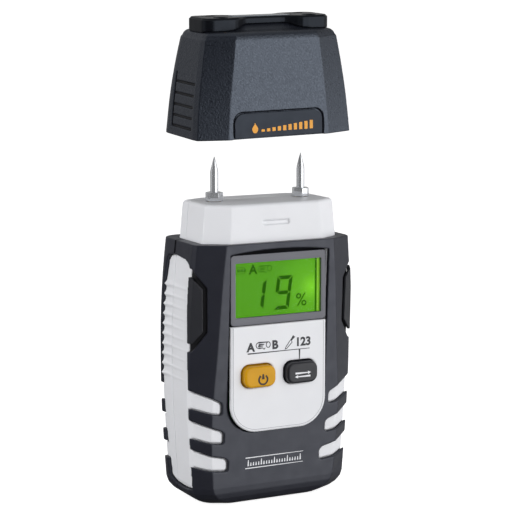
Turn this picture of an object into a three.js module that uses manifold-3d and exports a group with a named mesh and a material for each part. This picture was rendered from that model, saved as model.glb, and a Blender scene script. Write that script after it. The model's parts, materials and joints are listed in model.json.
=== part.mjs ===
// Pin-type moisture meter: a handle with a white core housing in a dark soft jacket, a sensor
// head with two screw-in measuring pins, a display, two buttons, a battery compartment and a
// protective cap that is held lifted off the head. Millimetres, +Z up, -Y is the front.
// The origin is the centre of the base, on the axis plane of the measuring pins. While the pieces
// are drawn, heights are counted from a datum a little above the base.
import * as THREE from "three";
import { mergeVertices } from "three/addons/utils/BufferGeometryUtils.js";
import Module from "manifold-3d";

const wasm = await Module();
wasm.setup();

// ---------- driving dimensions ----------
const GAP = 0.3; // clearance between neighbouring pieces
const SHOULDER_Z = 92.8; // top of the handle
const BASE_Z = -1.7; // the base below the datum of the drawn heights
const BASE_ROUND = 7; // height over which the base rounds off
const BACK_Y = 17.6; // flat back of the handle
const BACK_CORNER_R = 6.5;
const JACKET_T = 1.6; // soft jacket wall
const CORE_OUT = 1.9; // depth of the core housing below the jacket's surface
const CORE_IN = 3.5; // depth of the hollow below the jacket's surface
const WINDOW_DEPTH = 1.0; // white surface below the jacket's surface
const JACKET_SEAM_Y = 3.8;
const CORE_SEAM_Y = 4.5;

const HEAD_TOP_Z = 106.3;
const HEAD_ROOT_Z = 90.2;
const HEAD_WALL = 2;
const PIN_X = 17.25;
const PIN_TIP_Z = 122.1;
const PIN_R = 1.45;
const HEX_AF = 5.5;
const HEX_H = 2.9;

const PANEL_Y = -16.3; // front plane of the keypad panel and the display lens
const PANEL_HALF = 19;
const PANEL_BOTTOM_Z = 25.3;
const PANEL_TOP_Z = 63.65;
const PANEL_CORNER_R = 10.5;
const LENS_TOP_Z = 88.8;
const PCB_Y = [-8.4, -6.8];

const BUTTON_X = 8.38;
const BUTTON_Z = 45.6;
const BUTTON_W = 12.1;
const BUTTON_H = 7.6;

const RIDGE_COUNT = 10;
const RIDGE_PITCH = 3.605;
const RIDGE_TOP_Z = 76.5;

const CELL_R = 5.25; // AAA cell
const CELL_LENGTH = 44.5;
const CELL_PITCH = 11.2;
const CELL_Y = 9.6;
const BAY_Z = [13, 63.6];
const BAY_HALF = 17.4;
const DOOR_Z = [11.7, 65.5];
const DOOR_HALF = 18.6;
const DOOR_PIVOT = { y: BACK_Y - JACKET_T / 2, z: DOOR_Z[0] + JACKET_T / 2 };

const CAP_SEAT_Z = SHOULDER_Z + GAP;
const CAP_H = 36.3; // rim to the front top edge
const CAP_WALL = 1.5;
const CROWN_TOP_Z = 134.2;
// The cap is held lifted on an arc about a level axis in front of the meter.
const CAP_ARC = { heading: 27.02, radius: 640, z: 100, lift: 3.33 };

// ---------- materials ----------
const plastic = (color, roughness) => new THREE.MeshStandardMaterial({ color, roughness });
const metal = (color, roughness) =>
  new THREE.MeshStandardMaterial({ color, roughness, metalness: 1 });
const jacketMat = plastic(0x4a4b51, 0.6);
const padMat = plastic(0x303138, 0.75);
const whiteMat = plastic(0xe2e2e8, 0.4);
const capMat = plastic(0x4c525b, 0.65);
const stripMat = plastic(0x5a6470, 0.15);
const lensMat = plastic(0x6b6c72, 0.1);
const lcdMat = plastic(0x62a81c, 0.3);
const amberMat = plastic(0xd8a02c, 0.45);
const greyKeyMat = plastic(0x3a3b40, 0.45);
const clearMat = plastic(0xd8dcd4, 0.2);
const pcbMat = plastic(0x1f6b3a, 0.5);
const blackMat = plastic(0x17171a, 0.6);
const rubberMat = plastic(0x55565c, 0.85);
const cellMat = plastic(0xb9bcc2, 0.35);
const steelMat = metal(0xc9cbd0, 0.2);
const brassMat = metal(0xc9a24a, 0.35);
const springMat = metal(0xb5b8bd, 0.3);

// ---------- solids ----------
function solid(geometry) {
  const bare = geometry.clone();
  bare.deleteAttribute("normal");
  bare.deleteAttribute("uv");
  const merged = mergeVertices(bare, 1e-4);
  return new wasm.Manifold(
    new wasm.Mesh({
      numProp: 3,
      vertProperties: new Float32Array(merged.attributes.position.array),
      triVerts: new Uint32Array(merged.index.array),
    }),
  );
}

function geometryOf(made) {
  const mesh = made.getMesh();
  const geometry = new THREE.BufferGeometry();
  geometry.setAttribute("position", new THREE.BufferAttribute(mesh.vertProperties, 3));
  geometry.setIndex(new THREE.BufferAttribute(mesh.triVerts, 1));
  geometry.computeVertexNormals();
  return geometry;
}

function box([x0, x1], [y0, y1], [z0, z1]) {
  const geometry = new THREE.BoxGeometry(x1 - x0, y1 - y0, z1 - z0);
  return solid(geometry.translate((x0 + x1) / 2, (y0 + y1) / 2, (z0 + z1) / 2));
}

const AXIS_X = new THREE.Vector3(1, 0, 0);
const AXIS_Y = new THREE.Vector3(0, 1, 0);
const AXIS_Z = new THREE.Vector3(0, 0, 1);
// Turns an extrusion of an outline drawn in (y, z) so that it runs along +X.
const TO_X = new THREE.Matrix4().makeBasis(AXIS_Y, AXIS_Z, AXIS_X);

function extruded(shape, depth, curveSegments = 2) {
  return new THREE.ExtrudeGeometry(shape, { depth, bevelEnabled: false, curveSegments });
}

// Outline in (y, z), from x0 to x1.
function prismX(shape, [x0, x1], curveSegments) {
  const geometry = extruded(shape, x1 - x0, curveSegments).applyMatrix4(TO_X);
  return solid(geometry.translate(x0, 0, 0));
}

// Outline in (x, z), from y0 to y1.
function prismY(shape, [y0, y1], curveSegments) {
  const geometry = extruded(shape, y1 - y0, curveSegments).rotateX(Math.PI / 2);
  return solid(geometry.translate(0, y1, 0));
}

// Outline in (x, y), from z0 to z1.
function prismZ(shape, [z0, z1], curveSegments) {
  return solid(extruded(shape, z1 - z0, curveSegments).translate(0, 0, z0));
}

function rodY(x, z, r, [y0, y1], sides = 16) {
  const geometry = new THREE.CylinderGeometry(r, r, y1 - y0, sides);
  return solid(geometry.translate(x, (y0 + y1) / 2, z));
}

// A turned piece about the vertical line through (x, y); the profile is (radius, z) points.
function turned(x, y, profile, sides = 16) {
  const points = profile.map(([r, z]) => new THREE.Vector2(r, z));
  return solid(new THREE.LatheGeometry(points, sides).rotateX(Math.PI / 2).translate(x, y, 0));
}

function outline(points) {
  return new THREE.Shape(points.map(([a, b]) => new THREE.Vector2(a, b)));
}

function roundedRect([a0, a1], [b0, b1], r) {
  const shape = new THREE.Shape();
  shape.absarc(a1 - r, b0 + r, r, -Math.PI / 2, 0, false);
  shape.absarc(a1 - r, b1 - r, r, 0, Math.PI / 2, false);
  shape.absarc(a0 + r, b1 - r, r, Math.PI / 2, Math.PI, false);
  shape.absarc(a0 + r, b0 + r, r, Math.PI, 1.5 * Math.PI, false);
  return shape;
}

const mirrored = (made) => made.mirror([1, 0, 0]);
const both = (made) => made.add(mirrored(made));

// A smooth curve through (z, value) points, level with its end slopes outside them.
function through(points) {
  const slope = (i) => {
    const [a, b] = [points[Math.max(i - 1, 0)], points[Math.min(i + 1, points.length - 1)]];
    return (b[1] - a[1]) / (b[0] - a[0]);
  };
  return (z) => {
    let i = 0;
    while (i < points.length - 2 && z > points[i + 1][0]) i++;
    const [z0, v0] = points[i];
    const [z1, v1] = points[i + 1];
    const h = z1 - z0;
    const t = THREE.MathUtils.clamp((z - z0) / h, 0, 1);
    const blend = t * t * (3 - 2 * t);
    const rise = h * (slope(i) * t * (1 - t) ** 2 - slope(i + 1) * t * t * (1 - t));
    return v0 + (v1 - v0) * blend + rise;
  };
}

// Moves every side of a convex outline inwards by d.
function insetOutline(points, d) {
  const n = points.length;
  const side = (i) => {
    const [p, q] = [points[(i + n) % n], points[(i + 1) % n]];
    const along = q.clone().sub(p).normalize();
    return { at: p.clone().add(new THREE.Vector2(-along.y, along.x).multiplyScalar(d)), along };
  };
  return points.map((_, i) => {
    const [a, b] = [side(i - 1), side(i)];
    const cross = a.along.cross(b.along);
    const t = b.at.clone().sub(a.at).cross(b.along) / cross;
    return a.at.clone().addScaledVector(a.along, t);
  });
}

// A closed solid through a stack of level outlines with equal numbers of points.
function loft(levels) {
  const count = levels[0].points.length;
  const positions = levels.flatMap(({ z, points }) => points.flatMap((p) => [p.x, p.y, z]));
  const index = [];
  for (let k = 0; k < levels.length - 1; k++)
    for (let i = 0; i < count; i++) {
      const [a, b] = [k * count + i, k * count + ((i + 1) % count)];
      index.push(a, b, b + count, a, b + count, a + count);
    }
  const top = (levels.length - 1) * count;
  for (const [a, b, c] of THREE.ShapeUtils.triangulateShape(levels[0].points, []))
    index.push(c, b, a);
  for (const [a, b, c] of THREE.ShapeUtils.triangulateShape(levels.at(-1).points, []))
    index.push(top + a, top + b, top + c);
  const geometry = new THREE.BufferGeometry();
  geometry.setAttribute("position", new THREE.Float32BufferAttribute(positions, 3));
  geometry.setIndex(index);
  return solid(geometry);
}

// Half of an outline from the front centre to the back centre, and its mirror image.
function wholeOutline(half) {
  const right = half.map(([x, y]) => new THREE.Vector2(x, y));
  const left = half.map(([x, y]) => new THREE.Vector2(-x, y)).reverse();
  return [...right, ...left];
}

function cornerArc(cx, cy, r, steps) {
  return Array.from({ length: steps + 1 }, (_, i) => {
    const angle = (i / steps) * (Math.PI / 2);
    return [cx + r * Math.cos(angle), cy + r * Math.sin(angle)];
  });
}

// ---------- handle body ----------
const frontHalf = through([[0, 23.6], [10, 24.4], [25, 25.3], [40, 24.8], [52, 23.9],
  [65, 23.1], [81, 22.1], [93, 21]]);
const frontY = (z) => -12.1 - 0.0735 * z + 0.000133 * z * z;
const bevelHalf = through([[0, 30], [12, 30.6], [31, 31.5], [45, 31.9], [60, 31.8],
  [74, 31.5], [84, 30.7], [93, 29.9]]);
const bevelY = through([[0, -8.7], [21, -9.6], [42, -10.2], [60, -10.8], [78, -12], [93, -12.7]]);
const sideHalf = through([[0, 30.6], [12, 31.5], [31, 32.6], [45, 32.9], [63, 32.8],
  [74, 32.3], [84, 31.5], [93, 30.5]]);
const SIDE_FRONT_Y = 2.6; // how far the side's front edge lies behind the bevel's edge

// How much of the base's rounding applies at height z: 1 at the base, 0 above it.
function baseRound(z) {
  const t = THREE.MathUtils.clamp(1 - (z - BASE_Z) / BASE_ROUND, 0, 1);
  return 1 - Math.sqrt(1 - t * t);
}

function bodyOutline(z) {
  const round = baseRound(z);
  const narrow = 10.5 * round;
  const front = 3.4 * round;
  const side = sideHalf(z) - narrow;
  const back = BACK_Y - 4.5 * round;
  return wholeOutline([
    [frontHalf(z) - narrow, frontY(z) + front],
    [bevelHalf(z) - narrow, bevelY(z) + front],
    [side, bevelY(z) + SIDE_FRONT_Y + front],
    ...cornerArc(side - BACK_CORNER_R, back - BACK_CORNER_R, BACK_CORNER_R, 7),
  ]);
}

const ROUND_STEPS = 5;
const BODY_STEPS = 14;
const bodyLevels = [
  ...Array.from({ length: ROUND_STEPS }, (_, i) =>
    BASE_Z + BASE_ROUND * (1 - Math.cos((i / ROUND_STEPS) * (Math.PI / 2)))),
  ...Array.from({ length: BODY_STEPS + 1 }, (_, i) =>
    THREE.MathUtils.lerp(BASE_Z + BASE_ROUND, SHOULDER_Z, i / BODY_STEPS)),
];

// The handle's outer form moved inwards by d, or outwards where d is negative.
function bodyForm(d) {
  const squeeze = (z) => THREE.MathUtils.mapLinear(z, BASE_Z, SHOULDER_Z, BASE_Z + d, SHOULDER_Z - d);
  return loft(bodyLevels.map((z) => ({ z: squeeze(z), points: insetOutline(bodyOutline(z), d) })));
}

// ---------- sensor head ----------
const headHalf = through([[HEAD_ROOT_Z, 26.65], [HEAD_TOP_Z, 25.3]]);

function headOutline(z, d) {
  const t = (z - HEAD_ROOT_Z) / (HEAD_TOP_Z - HEAD_ROOT_Z);
  const points = wholeOutline([
    [18.4 - 1.1 * t, -14.8 + 0.9 * t],
    [headHalf(z), -9.5 + 0.4 * t],
    [headHalf(z), 9.7 - 0.4 * t],
    [18.2 - 0.8 * t, 13.6 - 0.6 * t],
  ]);
  return insetOutline(points, d);
}

function headForm(d) {
  const top = HEAD_TOP_Z - d;
  const edge = 1.3; // rounded top edge
  const levels = [HEAD_ROOT_Z - d, top - edge].map((z) => ({ z, points: headOutline(z, d) }));
  for (const angle of [30, 60, 90]) {
    const a = THREE.MathUtils.degToRad(angle);
    const z = top - edge * (1 - Math.sin(a));
    levels.push({ z, points: headOutline(z, d + edge * (1 - Math.cos(a))) });
  }
  return loft(levels);
}

// ---------- openings in the jacket that show the white core ----------
// Three finger windows on each front and back bevel; their outlines are in (x, z).
const FINGERS = [
  { z: 41.7, tip: 21.3 },
  { z: 31.0, tip: 20.3 },
  { z: 20.7, tip: 18.4 },
];
const REAR_FINGER_SHIFT = -3.2; // the back windows stop short of the battery door

function fingerOutline({ z, tip }, gap) {
  const [upper, lower] = [2.3, 1]; // corner radii at the tip
  const shape = new THREE.Shape();
  shape.moveTo(-36, z + 0.6 - gap);
  shape.lineTo(-32.6, z - 0.2 - gap);
  shape.lineTo(-25.2, z - 3.2 - gap);
  shape.absarc(-tip - upper, z - 6.6, upper - gap, THREE.MathUtils.degToRad(65), 0, true);
  shape.absarc(-tip - lower, z - 8.4, lower - gap, 0, THREE.MathUtils.degToRad(-100), true);
  shape.lineTo(-26.2, z - 8.6 + gap);
  shape.lineTo(-32.5, z - 6.7 + gap);
  shape.lineTo(-36, z - 6.2 + gap);
  return shape;
}

// The back edge of the side windows above the fingers.
const stripeBack = (z) => 12.9 - 0.05 * (z - 41);

function stripeOutline(gap) {
  return outline([
    [-8.4 + gap, 5 + gap], [-2, 4.2 + gap], [5.5, 4.5 + gap], [9.4 - gap, 6.4 + gap],
    [9.9 - gap, 12.5], [11.3 - gap, 21], [12.2 - gap, 32], [stripeBack(41) - gap, 41],
    [stripeBack(78) - gap, 78], [9.8 - gap, 85.6], [8.7 - gap, 87 - gap], [4, 87.8 - gap],
    [-5.4, 87 - gap], [-7.3 + gap / 2, 86.3 - gap], [-8.7 + gap, 85.3 - gap / 2],
    [-9.3 + gap, 83.8],
    [-9.1 + gap, 60], [-8.9 + gap, 40], [-8.4 + gap, 18],
  ]);
}

function leftWindows(gap) {
  const stripe = prismX(stripeOutline(gap), [-40, -24.5]);
  return FINGERS.reduce((all, finger) => {
    const shape = fingerOutline(finger, gap);
    const rear = prismY(shape, [9, 25], 5).translate([REAR_FINGER_SHIFT, 0, 0]);
    return all.add(prismY(shape, [-25, -8], 5)).add(rear);
  }, stripe);
}

// ---------- grip pads on the front bevels ----------
const PAD = { reach: 3.9, outer: [58.1, 81.5], inner: [62.4, 77.5], groove: 1.5, ends: 2.9 };

// The pad's outline on the left bevel: distance in from the bevel's edge against height.
function padPrism(grow, ends) {
  const wrap = -1.9 - grow * 0.2;
  const [z0, z1] = PAD.outer;
  const [y0, y1] = PAD.inner;
  const shape = outline([
    [wrap, z0 - ends], [0, z0 - ends], [PAD.reach + grow, y0 - grow * 0.2],
    [PAD.reach + grow, y1 + grow * 0.2], [0, z1 + ends], [wrap, z1 + ends],
  ]);
  const middle = (z0 + z1) / 2;
  const turn = Math.atan2(bevelY(middle) - frontY(middle), bevelHalf(middle) - frontHalf(middle));
  return solid(extruded(shape, 12)
    .rotateX(Math.PI / 2)
    .translate(0, 6, 0)
    .rotateZ(-turn)
    .translate(-bevelHalf(middle), bevelY(middle), 0));
}

// ---------- display and keypad opening ----------
function panelOutline(top, gap) {
  const [half, bottom] = [PANEL_HALF + gap, PANEL_BOTTOM_Z - gap];
  const r = PANEL_CORNER_R + gap;
  const shape = new THREE.Shape();
  shape.absarc(half - r, bottom + r, r, -Math.PI / 2, 0, false);
  shape.lineTo(half, top);
  if (top > LENS_TOP_Z) shape.quadraticCurveTo(0, top + 2.6, -half, top);
  else shape.lineTo(-half, top);
  shape.absarc(-half + r, bottom + r, r, Math.PI, 1.5 * Math.PI, false);
  return shape;
}

// ---------- fasteners ----------
const CASE_SCREWS = [[-23.5, 84], [23.5, 84], [-22.5, 8.3], [22.5, 8.3]];
const PCB_SCREWS = [[-12, 29.8], [12, 29.8], [-16, 59.5], [16, 59.5]];

// ---------- shells ----------
const innerForm = bodyForm(CORE_IN).add(headForm(HEAD_WALL));
const front = box([-60, 60], [-60, 0], [-10, 200]);
const back = box([-60, 60], [0, 60], [-10, 200]);
const inFront = (made, y) => made.intersect(front.translate([0, y - GAP / 2, 0]));
const behind = (made, y) => made.intersect(back.translate([0, y + GAP / 2, 0]));

function jacketForm() {
  const opening = prismY(panelOutline(LENS_TOP_Z + 0.35, 0.4), [-30, -9], 8);
  const neck = loft([80, 96].map((z) => ({ z, points: headOutline(z, -GAP) })));
  const doorway = box([-DOOR_HALF - 0.35, DOOR_HALF + 0.35], [10, 30],
    [DOOR_Z[0] - 0.35, DOOR_Z[1] + 0.35]);
  const pockets = bodyForm(-2).subtract(bodyForm(1.05)).intersect(padPrism(PAD.groove, PAD.ends));
  let made = bodyForm(0).subtract(bodyForm(JACKET_T)).subtract(opening).subtract(neck);
  made = made.subtract(doorway).subtract(both(leftWindows(0))).subtract(both(pockets));
  for (const [x, z] of CASE_SCREWS) made = made.subtract(rodY(x, z, 3, [8, 30]));
  return made;
}

function coreForm() {
  const fills = bodyForm(WINDOW_DEPTH).intersect(both(leftWindows(GAP)));
  const opening = panelOutline(LENS_TOP_Z + 0.35, 0.4);
  const ledge = panelOutline(LENS_TOP_Z - 0.4, -0.55);
  let made = bodyForm(CORE_OUT).add(headForm(0)).add(fills).add(both(leftRidges()));
  made = made.subtract(innerForm).subtract(prismY(opening, [-30, -14.4], 8));
  made = made.subtract(prismY(ledge, [-30, -9], 6));
  for (const side of [-1, 1])
    made = made.subtract(turned(side * PIN_X, 0, [[0, 100], [2.7, 100], [2.7, 110], [0, 110]]));
  return made.subtract(snapRecess());
}

// The ridges stand proud at the back edge of the stripe and run out towards the front.
function leftRidges() {
  const ridge = (z) => {
    const x = -sideHalf(z) + WINDOW_DEPTH;
    const rear = stripeBack(z) - 2 * GAP;
    const section = (y, height) => ({
      z: -y,
      points: [[x + 0.4, z - 1.55], [x + 0.4, z + 1.55], [x - height, z]]
        .map(([a, b]) => new THREE.Vector2(a, b)),
    });
    return loft([section(rear, 1.05), section(rear - 2.5, 0.6), section(rear - 6, 0.3),
      section(-7, 0.1)]).rotate([90, 0, 0]);
  };
  return Array.from({ length: RIDGE_COUNT }, (_, i) => ridge(RIDGE_TOP_Z - i * RIDGE_PITCH))
    .reduce((all, made) => all.add(made));
}

function snapRecess() {
  return box([-5.2, 5.2], [-20, -13.6], [98.6, 100.3]);
}

function jacketFront() {
  return inFront(jacketForm(), JACKET_SEAM_Y);
}

function jacketRear() {
  return behind(jacketForm(), JACKET_SEAM_Y);
}

function bosses([y0, y1], bore) {
  const posts = CASE_SCREWS.map(([x, z]) =>
    rodY(x, z, 3.1, [y0, y1]).subtract(rodY(x, z, bore, [-8, y1 + 1])));
  const clipped = posts.reduce((all, post) => all.add(post));
  return clipped.intersect(bodyForm(CORE_OUT + 0.2));
}

function housingFront() {
  return inFront(coreForm(), CORE_SEAM_Y).add(bosses([-14, CORE_SEAM_Y - GAP / 2], 1.65));
}

function batteryTray() {
  const wall = 1.2;
  const outer = box([-BAY_HALF - wall, BAY_HALF + wall], [2.9, 14.6],
    [BAY_Z[0] - wall, BAY_Z[1] + wall]);
  return outer;
}

function housingRear() {
  const bay = box([-BAY_HALF, BAY_HALF], [4.1, 30], BAY_Z);
  let made = behind(coreForm(), CORE_SEAM_Y);
  made = made.add(batteryTray()).subtract(bay);
  made = made.add(bosses([CORE_SEAM_Y + GAP / 2, 15], 1.65));
  for (const [x, z] of CASE_SCREWS) made = made.subtract(rodY(x, z, 1.65, [0, 30]));
  return made;
}

function gripPad() {
  return bodyForm(-0.3).subtract(bodyForm(0.7)).intersect(padPrism(0, 0))
    .subtract(leftWindows(-0.35));
}

// ---------- display, keypad and electronics ----------
function keypadPanel() {
  const shape = panelOutline(PANEL_TOP_Z, 0);
  for (const side of [-1, 1])
    shape.holes.push(roundedRect(
      [side * BUTTON_X - BUTTON_W / 2 - 0.4, side * BUTTON_X + BUTTON_W / 2 + 0.4],
      [BUTTON_Z - BUTTON_H / 2 - 0.4, BUTTON_Z + BUTTON_H / 2 + 0.4], 3.1));
  const edge = 0.5;
  const plate = solid(new THREE.ExtrudeGeometry(shape, {
    depth: 1.5 - 2 * edge, bevelThickness: edge, bevelSize: edge, bevelOffset: -edge,
    bevelSegments: 2, curveSegments: 8,
  }).rotateX(Math.PI / 2).translate(0, PANEL_Y + 1.5 - edge, 0));
  return PCB_SCREWS.reduce((made, [x, z]) => made
    .add(rodY(x, z, 2.1, [PANEL_Y + 1, PCB_Y[0] - GAP], 12))
    .subtract(rodY(x, z, 0.95, [PANEL_Y + 2.2, PCB_Y[0]], 12)), plate);
}

function displayLens() {
  return prismY(roundedRect([-PANEL_HALF + 0.2, PANEL_HALF - 0.2],
    [PANEL_TOP_Z + 0.35, LENS_TOP_Z], 1.2), [PANEL_Y, PANEL_Y + 1.2], 3);
}

function lcdFrame() {
  const outer = box([-20, 20], [-12.5, PCB_Y[0] - GAP], [62.4, 88.9]);
  return outer.subtract(box([-18.3, 18.3], [-13, 0], [64.4, 88.2]));
}

function circuitBoard() {
  const board = box([-20.1, 20.1], PCB_Y, [24.2, 90]);
  return PCB_SCREWS.reduce((made, [x, z]) => made.subtract(rodY(x, z, 1.3, [-12, 0], 12)), board);
}

function buttonCap(side) {
  const half = [BUTTON_W / 2, BUTTON_H / 2];
  const rect = (grow, r) => roundedRect(
    [side * BUTTON_X - half[0] - grow, side * BUTTON_X + half[0] + grow],
    [BUTTON_Z - half[1] - grow, BUTTON_Z + half[1] + grow], r);
  const edge = 0.8;
  const dome = solid(new THREE.ExtrudeGeometry(rect(0, 2.7), {
    depth: 3.7, bevelThickness: edge, bevelSize: edge, bevelOffset: -edge,
    bevelSegments: 3, curveSegments: 4,
  }).rotateX(Math.PI / 2).translate(0, -14.4, 0));
  return dome.add(prismY(rect(1.1, 3.5), [-14.45, -13.6], 4));
}

function tactSwitch(side) {
  const [x, z] = [side * BUTTON_X, BUTTON_Z];
  return box([x - 3, x + 3], [-10.9, PCB_Y[0] - GAP], [z - 3, z + 3]);
}

function measuringPin(side) {
  const across = HEX_AF / Math.sqrt(3);
  const hexTop = HEAD_TOP_Z + 0.3 + HEX_H;
  const hex = new THREE.CylinderGeometry(across, across, HEX_H, 6);
  hex.rotateX(Math.PI / 2).rotateZ(Math.PI / 6 + THREE.MathUtils.degToRad(side < 0 ? 33 : 14));
  const needle = turned(side * PIN_X, 0, [
    [0, 98], [1.2, 98], [1.5, 98.4], [1.5, HEAD_TOP_Z + 0.5], [PIN_R, HEAD_TOP_Z + 0.6],
    [PIN_R, PIN_TIP_Z - 5.3], [1.12, PIN_TIP_Z - 3.9], [0.78, PIN_TIP_Z - 2.5],
    [0.42, PIN_TIP_Z - 1.2], [0.1, PIN_TIP_Z - 0.1], [0, PIN_TIP_Z],
  ], 20);
  return solid(hex.translate(side * PIN_X, 0, hexTop - HEX_H / 2)).add(needle);
}

function pinSocket(side) {
  const [bore, outer, top] = [1.8, 2.4, HEAD_TOP_Z - 0.2];
  return turned(side * PIN_X, 0, [[0, 96], [outer, 96], [outer, top], [bore, top],
    [bore, 97.4], [0, 97.4]]);
}

function pinLead(side) {
  const strip = outline([[1.2, 95.2], [1.2, 95.7], [-6.4, 95.7], [-6.4, 84], [-5.9, 84],
    [-5.9, 95.2]]);
  return prismX(strip, [side * PIN_X - 1.5, side * PIN_X + 1.5]);
}

// ---------- batteries ----------
const CONTACT_T = 0.5;
const CONTACT_BOTTOM = BAY_Z[0] + GAP;
const CONTACT_TOP = BAY_Z[1] - GAP - CONTACT_T;
const CELLS = [{ x: -CELL_PITCH, up: true }, { x: 0, up: false }, { x: CELL_PITCH, up: true }];

// The heights of a cell's two ends; its positive end lies 0.4 off its contact.
function cellEnds(up) {
  const bottom = up ? CONTACT_TOP - 0.4 - CELL_LENGTH : CONTACT_BOTTOM + CONTACT_T + 0.4;
  return [bottom, bottom + CELL_LENGTH];
}

function batteryCell(x, up) {
  const [r, nub] = [CELL_R, 0.9];
  const [bottom, top] = cellEnds(up);
  const place = (h) => (up ? bottom + h : top - h);
  const profile = [[0, 0], [r - 0.4, 0], [r, 0.4], [r, CELL_LENGTH - nub - 0.4],
    [r - 0.4, CELL_LENGTH - nub], [1.9, CELL_LENGTH - nub], [1.9, CELL_LENGTH], [0, CELL_LENGTH]]
    .map(([radius, h]) => [radius, place(h)]);
  return turned(x, CELL_Y, up ? profile : profile.reverse(), 20);
}

// A conical coil spring, its wide end on the contact and its narrow end at the cell.
function batterySpring(x, up) {
  const [bottom, top] = cellEnds(up);
  const z0 = up ? CONTACT_BOTTOM + CONTACT_T + 0.55 : CONTACT_TOP - 0.55;
  const z1 = up ? bottom - 0.55 : top + 0.55;
  class Coil extends THREE.Curve {
    getPoint(t, target = new THREE.Vector3()) {
      const angle = t * 3 * 2 * Math.PI;
      const r = 3.4 - 1.6 * t;
      return target.set(x + r * Math.cos(angle), CELL_Y + r * Math.sin(angle), z0 + (z1 - z0) * t);
    }
  }
  const wire = new THREE.Shape().absarc(0, 0, 0.25, 0, 2 * Math.PI, false);
  return solid(new THREE.ExtrudeGeometry(wire, {
    steps: 24, extrudePath: new Coil(), curveSegments: 3, bevelEnabled: false,
  }));
}

function contactPlate([x0, x1], z) {
  return box([x0, x1], [CELL_Y - 4.6, CELL_Y + 4.6], [z, z + CONTACT_T]);
}

// ---------- battery door ----------
function batteryDoor() {
  const { y, z } = DOOR_PIVOT;
  const r = JACKET_T / 2;
  const profile = new THREE.Shape();
  profile.absarc(y, z, r, Math.PI, 2 * Math.PI, false);
  profile.lineTo(BACK_Y, DOOR_Z[1]);
  profile.lineTo(BACK_Y - JACKET_T, DOOR_Z[1]);
  const door = prismX(profile, [-DOOR_HALF, DOOR_HALF], 3);
  const grooves = Array.from({ length: 5 }, (_, i) =>
    box([-6, 6], [BACK_Y - 0.5, BACK_Y + 1], [53 + 2 * i, 53.9 + 2 * i]));
  return grooves.reduce((made, groove) => made.subtract(groove), door);
}

// ---------- cap ----------
const capInnerHalf = through([[0, 19.5], [14, 18.4], [26, 17], [CAP_H, 15.85]]);
const capFrontY = through([[0, -16.45], [14, -15.95], [26, -15.55], [CAP_H, -14.95]]);
const capBevelHalf = through([[0, 30], [14, 28.7], [26, 26.95], [CAP_H, 25.1]]);
const capBevelY = through([[0, -13.1], [14, -12.2], [26, -11.4], [CAP_H, -10.6]]);
const capBackY = through([[0, 16.8], [14, 15.8], [26, 14.6], [CAP_H, 13.1]]);

function capOutline(h) {
  const r = 6;
  return wholeOutline([
    [capInnerHalf(h), capFrontY(h)],
    [capBevelHalf(h), capBevelY(h)],
    [capBevelHalf(h) + 0.3, capBevelY(h) + 3],
    ...cornerArc(capBevelHalf(h) + 0.3 - r, capBackY(h) - r, r, 7),
  ]);
}

function capForm(d, h0) {
  const levels = Array.from({ length: 10 }, (_, i) => h0 + (i / 9) * (CAP_H - 2.4 - h0))
    .map((h) => ({ z: CAP_SEAT_Z + h, points: insetOutline(capOutline(h), d) }));
  const edge = 2.6; // rounded shoulder
  for (const angle of [15, 35, 55, 75, 90]) {
    const a = THREE.MathUtils.degToRad(angle);
    const h = CAP_H - 2.4 + edge * Math.sin(a);
    const points = insetOutline(capOutline(CAP_H), d + edge * (1 - Math.cos(a)));
    levels.push({ z: CAP_SEAT_Z + h - d * Math.sin(a), points });
  }
  return loft(levels);
}

const CROWN_BASE_Z = CAP_SEAT_Z + CAP_H + 0.5;
const CROWN = { half: 24.4, lobe: 12.4, y: -0.6, depth: 8.4, waist: 5, r: 3.8 };

function crownOutline(d) {
  const { half, lobe, y, depth, waist, r } = CROWN;
  const shape = new THREE.Shape();
  const [x1, x0, deep, thin] = [half - d, lobe - d, depth - d, waist - d];
  shape.moveTo(-6, y - thin);
  shape.lineTo(6, y - thin);
  shape.bezierCurveTo(x0 - 2.5, y - thin, x0 - 2, y - deep, x0 + 3, y - deep);
  shape.absarc(x1 - r, y - deep + r, r, -Math.PI / 2, 0, false);
  shape.absarc(x1 - r, y + deep - r, r, 0, Math.PI / 2, false);
  shape.lineTo(x0 + 3, y + deep);
  shape.bezierCurveTo(x0 - 2, y + deep, x0 - 2.5, y + thin, 6, y + thin);
  shape.lineTo(-6, y + thin);
  shape.bezierCurveTo(-x0 + 2.5, y + thin, -x0 + 2, y + deep, -x0 - 3, y + deep);
  shape.absarc(-x1 + r, y + deep - r, r, Math.PI / 2, Math.PI, false);
  shape.absarc(-x1 + r, y - deep + r, r, Math.PI, 1.5 * Math.PI, false);
  shape.lineTo(-x0 - 3, y - deep);
  shape.bezierCurveTo(-x0 + 2, y - deep, -x0 + 2.5, y - thin, -6, y - thin);
  return shape;
}

const TEST_HOLES = [-1, 1].flatMap((sx) => [-1, 1].map((sy) => [sx * PIN_X, CROWN.y + sy * 4.9]));

// The arched ramp that carries the crown's narrow middle: sections in (y, z) set along x.
const SADDLE_RISE = through([[0, 2.75], [8.5, 2.65], [16, 0.9], [21, 0]]);

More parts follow.
